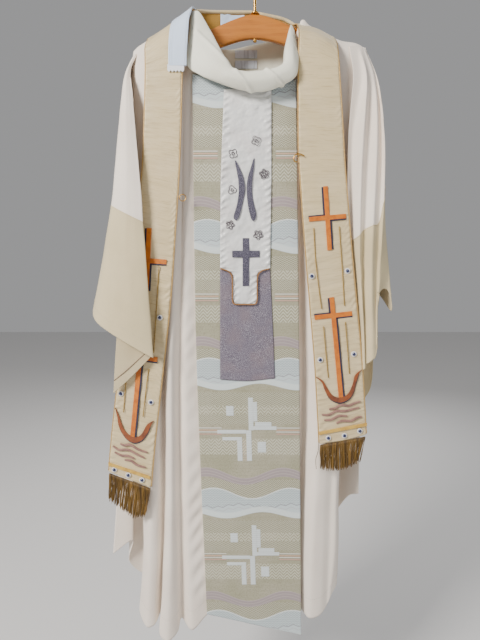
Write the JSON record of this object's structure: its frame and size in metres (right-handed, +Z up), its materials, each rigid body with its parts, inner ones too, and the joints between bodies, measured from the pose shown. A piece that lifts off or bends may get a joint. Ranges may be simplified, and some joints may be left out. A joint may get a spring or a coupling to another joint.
{
  "type": "chasuble with stole",
  "caption": "Ivory priest's chasuble with roll collar, woven orphrey and satin and lamé patches, with an embroidered fringed stole, hung on a wooden hanger with a brass swivel hook",
  "frame": {"origin": "the hook's seat on its rail, at the inside top of the brass hook", "axes": "+Z up; +X to the viewer's right; the garment's front faces -Y"},
  "size_m": [0.604, 0.1757, 1.3678],
  "materials": {
    "chasuble_cloth": "plain matt ivory weave",
    "collar_cloth": "plain matt cream weave",
    "band_cloth": "plain beige-cream weave",
    "orphrey_weave": "jacquard weave with pale waves and zigzags",
    "satin": "glossy puckered white satin",
    "lame": "grey-mauve glitter cloth",
    "glitter": "dark glitter embroidery",
    "stole_silk": "champagne silk with a soft sheen",
    "stole_lining": "mustard-gold lining",
    "gold_piping": "twisted gold-tan cord",
    "cord": "brown-gold cord",
    "guard_cotton": "white cotton with a bluish cast, lace-edged",
    "orange_embroidery": "burnt-orange satin stitch",
    "gold_braid": "flat gold braid",
    "fringe_thread": "bronze bullion thread",
    "bead_glaze": "navy bead",
    "label_weave": "blank grey woven label",
    "hanger_wood": "clear-varnished light wood",
    "brass": "polished brass"
  },
  "bodies": {
    "hook": {"hook": "brass", "hook_rivet": "brass"},
    "garment": {"hook_ferrule": "brass", "hanger_yoke": "hanger_wood", "chasuble_front_left": "chasuble_cloth", "chasuble_front_right": "chasuble_cloth", "chasuble_back_left": "chasuble_cloth", "chasuble_back_right": "chasuble_cloth", "front_orphrey": "orphrey_weave", "back_orphrey": "orphrey_weave", "satin_panel": "satin", "lame_panel": "lame", "tab_cord": "cord", "glitter_cross": "glitter", "leaf_left": "glitter", "leaf_right": "glitter", "collar": "collar_cloth", "collar_back": "collar_cloth", "neck_facing": "collar_cloth", "label_upper": "label_weave", "label_lower": "label_weave", "stole_neck": "stole_silk", "neck_guard": "guard_cotton"},
    "sleeve_left": {"sleeve_left": "chasuble_cloth", "sleeve_band_left": "band_cloth", "sleeve_under_left": "band_cloth"},
    "sleeve_right": {"sleeve_right": "chasuble_cloth", "sleeve_band_right": "band_cloth"},
    "stole_left": {"stole_ring": "brass", "stole_left": "stole_silk", "stole_left_lining": "stole_lining", "stole_left_piping_left": "gold_piping", "stole_left_piping_right": "gold_piping", "braid_left": "gold_braid", "cross_left": "orange_embroidery", "anchor_left": "orange_embroidery", "bead_left_1": "bead_glaze", "bead_left_2": "bead_glaze", "bead_left_3": "bead_glaze", "bead_left_4": "bead_glaze", "bead_left_5": "bead_glaze", "bead_left_6": "bead_glaze"},
    "stole_right": {"stole_hook": "brass", "stole_right": "stole_silk", "stole_right_lining": "stole_lining", "stole_right_piping_left": "gold_piping", "stole_right_piping_right": "gold_piping", "braid_right": "gold_braid", "cross_right": "orange_embroidery", "anchor_right": "orange_embroidery", "bead_right_1": "bead_glaze", "bead_right_2": "bead_glaze", "bead_right_3": "bead_glaze", "bead_right_4": "bead_glaze", "bead_right_5": "bead_glaze", "bead_right_6": "bead_glaze", "bead_right_7": "bead_glaze"},
    "fringe_left": {"fringe_left": "fringe_thread"},
    "fringe_right": {"fringe_right": "fringe_thread"}
  },
  "joints": [
    {"name": "hanger_swivel", "type": "hinge", "parent": "hook", "child": "garment", "pos_m": [0, 0, -0.08], "axis": [0, 0, 1], "continuous": true},
    {"name": "sleeve_left_lift", "type": "hinge", "parent": "garment", "child": "sleeve_left", "pos_m": [-0.244, 0, -0.164], "axis": [0, 1, 0], "range_deg": [0, 22]},
    {"name": "sleeve_right_lift", "type": "hinge", "parent": "garment", "child": "sleeve_right", "pos_m": [0.224, 0, -0.164], "axis": [0, -1, 0], "range_deg": [0, 22]},
    {"name": "stole_left_swing", "type": "hinge", "parent": "garment", "child": "stole_left", "pos_m": [-0.17, -0.072, -0.156], "axis": [0, -1, 0], "range_deg": [0, 5]},
    {"name": "stole_right_swing", "type": "hinge", "parent": "garment", "child": "stole_right", "pos_m": [0.115, -0.072, -0.156], "axis": [0, 1, 0], "range_deg": [0, 5]},
    {"name": "fringe_left_swing", "type": "hinge", "parent": "stole_left", "child": "fringe_left", "pos_m": [-0.2548, -0.072, -1.004], "axis": [-0.9277, 0, 0.3733], "range_deg": [0, 60]},
    {"name": "fringe_right_swing", "type": "hinge", "parent": "stole_right", "child": "fringe_right", "pos_m": [0.1785, -0.072, -0.9185], "axis": [-0.9802, 0, -0.1981], "range_deg": [0, 60]}
  ]
}
